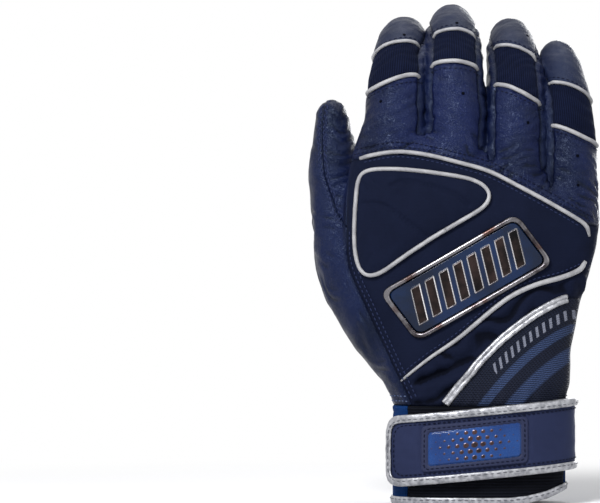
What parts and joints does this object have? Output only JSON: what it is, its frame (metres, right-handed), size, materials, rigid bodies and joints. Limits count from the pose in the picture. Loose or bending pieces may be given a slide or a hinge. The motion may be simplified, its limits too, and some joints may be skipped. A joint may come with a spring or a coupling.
{
  "type": "batting glove",
  "caption": "Right-hand baseball batting glove in worn shape: leather palm and fingers, stretch back with knuckle pad and badge, and a hook-and-loop wrist strap that opens.",
  "frame": {"origin": "under the middle of the glove's bounding box, on the surface that its hem stands on", "axes": "+X from the thumb side to the little finger, +Y from the back of the hand to the palm, +Z from the hem to the fingertips"},
  "size_m": [0.1364, 0.0802, 0.2348],
  "materials": {
    "palm_leather": "smooth sheepskin, soft sheen",
    "grained_leather": "pebbled, semi-gloss",
    "side_leather": "smooth, soft sheen",
    "rib_knit": "fine ribs, matte",
    "stretch_cloth": "smooth stretch cloth, matte",
    "woven_strap": "ribbed weave with lighter blue stripes",
    "neoprene": "knit-faced neoprene, matte",
    "black_elastic": "matte",
    "strap_cloth": "smooth synthetic, satin",
    "silver_tape": "metallic silver",
    "grey_piping": "satin grey",
    "badge_chrome": "mirror chrome plating on a moulded rim",
    "badge_blue": "gloss",
    "strap_patch_blue": "gloss",
    "palm_patch_blue": "satin moulded rubber",
    "palm_patch_silver": "satin silver ink on moulded rubber",
    "pad_foam": "closed-cell foam, matte",
    "hook_tape": "stiff hooks",
    "loop_tape": "napped loops"
  },
  "bodies": {
    "glove": {"palm_leather": "palm_leather", "index_middle_fourchette": "side_leather", "middle_ring_fourchette": "side_leather", "ring_little_fourchette": "side_leather", "index_tip_back": "grained_leather", "middle_tip_back": "grained_leather", "ring_tip_back": "grained_leather", "little_tip_back": "grained_leather", "index_flex_panel": "rib_knit", "middle_flex_panel": "rib_knit", "ring_flex_panel": "rib_knit", "little_flex_panel": "rib_knit", "knuckle_leather": "grained_leather", "back_panel": "stretch_cloth", "wrist_back_panel": "stretch_cloth", "diagonal_strap": "woven_strap", "diagonal_binding": "silver_tape", "thumb_patch": "side_leather", "thumb_outer_leather": "side_leather", "cuff_back": "black_elastic", "cuff_palm": "neoprene", "hem_binding": "silver_tape", "palm_patch_rim": "palm_patch_silver", "palm_patch_plate": "palm_patch_blue", "loop_patch": "loop_tape", "strap_root": "strap_cloth", "knuckle_pad_cover": "stretch_cloth", "knuckle_pad_foam": "pad_foam", "badge_rim": "badge_chrome", "badge_plate": "badge_blue", "knuckle_piping": "grey_piping", "lower_piping": "grey_piping", "pad_piping": "grey_piping", "index_lower_piping": "grey_piping", "index_upper_piping": "grey_piping", "middle_lower_piping": "grey_piping", "middle_upper_piping": "grey_piping", "ring_lower_piping": "grey_piping", "ring_upper_piping": "grey_piping", "little_lower_piping": "grey_piping", "little_upper_piping": "grey_piping"},
    "wrist_strap": {"strap": "strap_cloth", "strap_binding": "silver_tape", "strap_patch": "strap_patch_blue", "hook_patch": "hook_tape"}
  },
  "joints": [
    {"name": "strap_opening", "type": "hinge", "parent": "glove", "child": "wrist_strap", "pos_m": [0.05519, -0.01245, 0.033], "axis": [0, 0, 1], "range_deg": [0, 150]}
  ]
}
